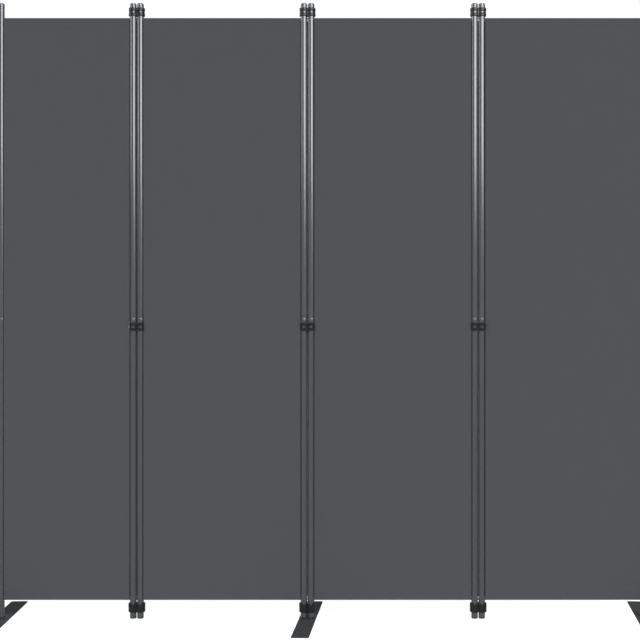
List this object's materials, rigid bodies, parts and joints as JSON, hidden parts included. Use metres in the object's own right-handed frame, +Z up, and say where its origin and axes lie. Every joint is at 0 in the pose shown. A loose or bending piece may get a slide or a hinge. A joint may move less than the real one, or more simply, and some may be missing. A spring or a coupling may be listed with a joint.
{
  "type": "folding screen",
  "caption": "Free-standing folding screen of grey cloth panels on steel tube frames, joined by black two-bore clips and stood on flat foot plates",
  "frame": {"origin": "on the floor under the middle of the screen", "axes": "+X along the screen to the right as seen from its front, +Y from the front to the back, +Z up"},
  "size_m": [1.9582, 0.422, 1.8],
  "materials": {
    "cloth": "plain woven polyester, slate grey, matt",
    "pole_steel": "grey semi-gloss powder coat on steel tube",
    "rod_steel": "grey semi-gloss powder coat on steel tube",
    "ferrule_steel": "dark grey phosphated turned steel",
    "screw_steel": "zinc-plated steel",
    "cap_plastic": "grey moulded plastic, semi-gloss",
    "plug_plastic": "grey moulded plastic",
    "connector_plastic": "black moulded plastic, satin",
    "foot_steel": "dark grey fine-textured powder coat on steel plate"
  },
  "bodies": {
    "centre_link": {"top_connector_2": "connector_plastic", "middle_connector_2": "connector_plastic", "low_connector_2": "connector_plastic", "centre_foot": "foot_steel", "centre_foot_screws": "screw_steel"},
    "panel_2": {"fabric_2": "cloth", "left_upper_pole_2": "pole_steel", "left_lower_pole_2": "pole_steel", "right_upper_pole_2": "pole_steel", "right_lower_pole_2": "pole_steel", "top_rod_2": "rod_steel", "bottom_rod_2": "rod_steel", "rod_ferrules_2": "ferrule_steel", "rod_screws_2": "screw_steel", "pole_caps_2": "cap_plastic", "pole_plugs_2": "plug_plastic"},
    "left_link": {"top_connector_1": "connector_plastic", "middle_connector_1": "connector_plastic", "low_connector_1": "connector_plastic"},
    "panel_1": {"fabric_1": "cloth", "left_upper_pole_1": "pole_steel", "left_lower_pole_1": "pole_steel", "right_upper_pole_1": "pole_steel", "right_lower_pole_1": "pole_steel", "top_rod_1": "rod_steel", "bottom_rod_1": "rod_steel", "rod_ferrules_1": "ferrule_steel", "rod_screws_1": "screw_steel", "pole_caps_1": "cap_plastic", "pole_plugs_1": "plug_plastic"},
    "left_swivel": {"left_foot": "foot_steel", "left_foot_screw": "screw_steel"},
    "panel_3": {"fabric_3": "cloth", "left_upper_pole_3": "pole_steel", "left_lower_pole_3": "pole_steel", "right_upper_pole_3": "pole_steel", "right_lower_pole_3": "pole_steel", "top_rod_3": "rod_steel", "bottom_rod_3": "rod_steel", "rod_ferrules_3": "ferrule_steel", "rod_screws_3": "screw_steel", "pole_caps_3": "cap_plastic", "pole_plugs_3": "plug_plastic"},
    "right_link": {"top_connector_3": "connector_plastic", "middle_connector_3": "connector_plastic", "low_connector_3": "connector_plastic"},
    "panel_4": {"fabric_4": "cloth", "left_upper_pole_4": "pole_steel", "left_lower_pole_4": "pole_steel", "right_upper_pole_4": "pole_steel", "right_lower_pole_4": "pole_steel", "top_rod_4": "rod_steel", "bottom_rod_4": "rod_steel", "rod_ferrules_4": "ferrule_steel", "rod_screws_4": "screw_steel", "pole_caps_4": "cap_plastic", "pole_plugs_4": "plug_plastic"},
    "right_swivel": {"right_foot": "foot_steel", "right_foot_screw": "screw_steel"}
  },
  "joints": [
    {"name": "panel_2_fold", "type": "hinge", "parent": "centre_link", "child": "panel_2", "pos_m": [-0.0565, 0, 0], "axis": [0, 0, 1], "range_deg": [-87, 87]},
    {"name": "left_link_fold", "type": "hinge", "parent": "panel_2", "child": "left_link", "pos_m": [-0.5345, 0, 0], "axis": [0, 0, -1], "range_deg": [-87, 87]},
    {"name": "panel_1_fold", "type": "hinge", "parent": "left_link", "child": "panel_1", "pos_m": [-0.5555, 0, 0], "axis": [0, 0, -1], "range_deg": [-87, 87]},
    {"name": "left_foot_swivel", "type": "hinge", "parent": "panel_1", "child": "left_swivel", "pos_m": [-0.9415, 0, 0], "axis": [0, 0, 1], "range_deg": [-87, 87]},
    {"name": "panel_3_fold", "type": "hinge", "parent": "centre_link", "child": "panel_3", "pos_m": [-0.0355, 0, 0], "axis": [0, 0, -1], "range_deg": [-87, 87]},
    {"name": "right_link_fold", "type": "hinge", "parent": "panel_3", "child": "right_link", "pos_m": [0.4425, 0, 0], "axis": [0, 0, 1], "range_deg": [-87, 87]},
    {"name": "panel_4_fold", "type": "hinge", "parent": "right_link", "child": "panel_4", "pos_m": [0.4635, 0, 0], "axis": [0, 0, 1], "range_deg": [-87, 87]},
    {"name": "right_foot_swivel", "type": "hinge", "parent": "panel_4", "child": "right_swivel", "pos_m": [0.9415, 0, 0], "axis": [0, 0, -1], "range_deg": [-87, 87]}
  ]
}
